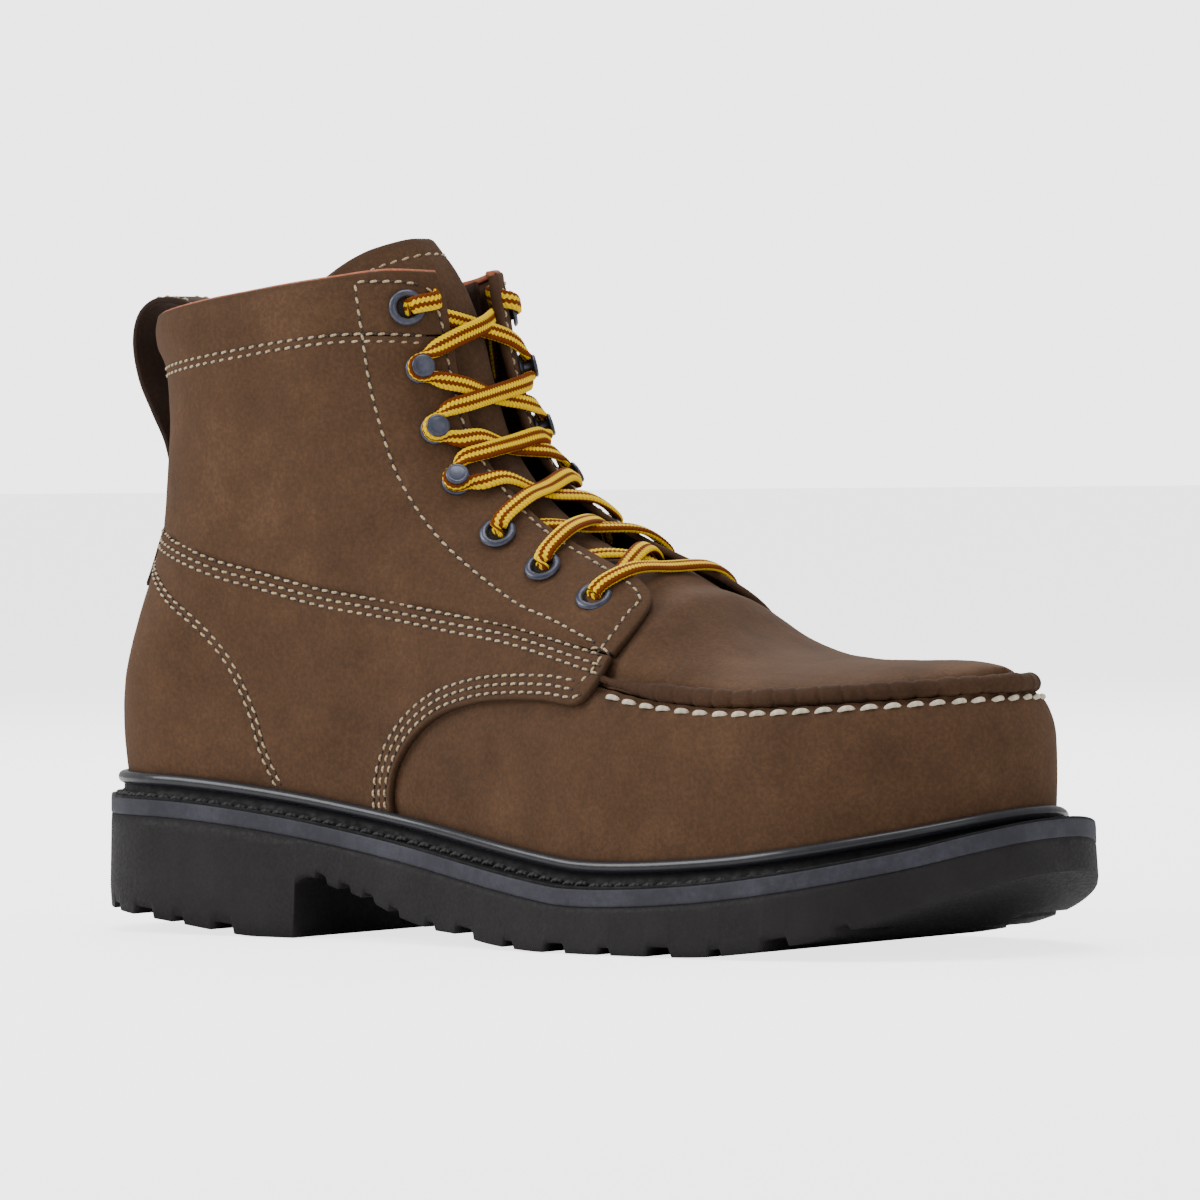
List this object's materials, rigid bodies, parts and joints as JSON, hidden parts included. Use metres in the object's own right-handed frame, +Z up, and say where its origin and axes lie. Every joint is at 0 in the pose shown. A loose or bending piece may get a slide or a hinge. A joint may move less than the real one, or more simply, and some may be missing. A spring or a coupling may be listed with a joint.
{
  "type": "steel toe work boot",
  "caption": "Lace-up ankle-height moc-toe work boot for the right foot, with a storm welt, a lugged heeled sole and a steel toe cap inside.",
  "frame": {"origin": "centre of the boot's footprint, on the ground", "axes": "+X from the heel to the toe, +Y to the inner side of the foot, +Z up"},
  "size_m": [0.3138, 0.1142, 0.1921],
  "materials": {
    "leather": "matt nubuck",
    "strap_leather": "matt suede",
    "lining": "smooth",
    "sole": "matt",
    "welt": "satin",
    "midsole": "ground smooth",
    "fittings": "satin",
    "steel": "plain",
    "board": "fibre board",
    "foam": "textile over foam",
    "lace": "braided"
  },
  "bodies": {
    "boot": {"aglet_inner": "lace", "aglet_outer": "lace", "bottom_filler": "foam", "collar": "leather", "eyelet_inner_1": "fittings", "eyelet_inner_2": "fittings", "eyelet_inner_3": "fittings", "eyelet_inner_4": "fittings", "eyelet_outer_1": "fittings", "eyelet_outer_2": "fittings", "eyelet_outer_3": "fittings", "eyelet_outer_4": "fittings", "footbed": "foam", "heel_stiffener": "board", "hook_inner_1": "fittings", "hook_inner_2": "fittings", "hook_inner_3": "fittings", "hook_outer_1": "fittings", "hook_outer_2": "fittings", "hook_outer_3": "fittings", "insole_board": "board", "lace": "lace", "lining_quarter": "lining", "lining_vamp": "lining", "midsole": "midsole", "moc_plug": "leather", "outsole": "sole", "pull_strap": "strap_leather", "quarter_inner": "leather", "quarter_outer": "leather", "shaft_inner": "leather", "shaft_outer": "leather", "shank": "steel", "toe_cap": "steel", "vamp": "leather", "welt": "welt"},
    "tongue": {"tongue": "leather"}
  },
  "joints": [
    {"name": "tongue_hinge", "type": "hinge", "parent": "boot", "child": "tongue", "pos_m": [0.043, 0, 0.0885], "axis": [0, 1, 0], "range_deg": [-8, 0], "stiffness_Nm_per_rad": 0.05}
  ]
}
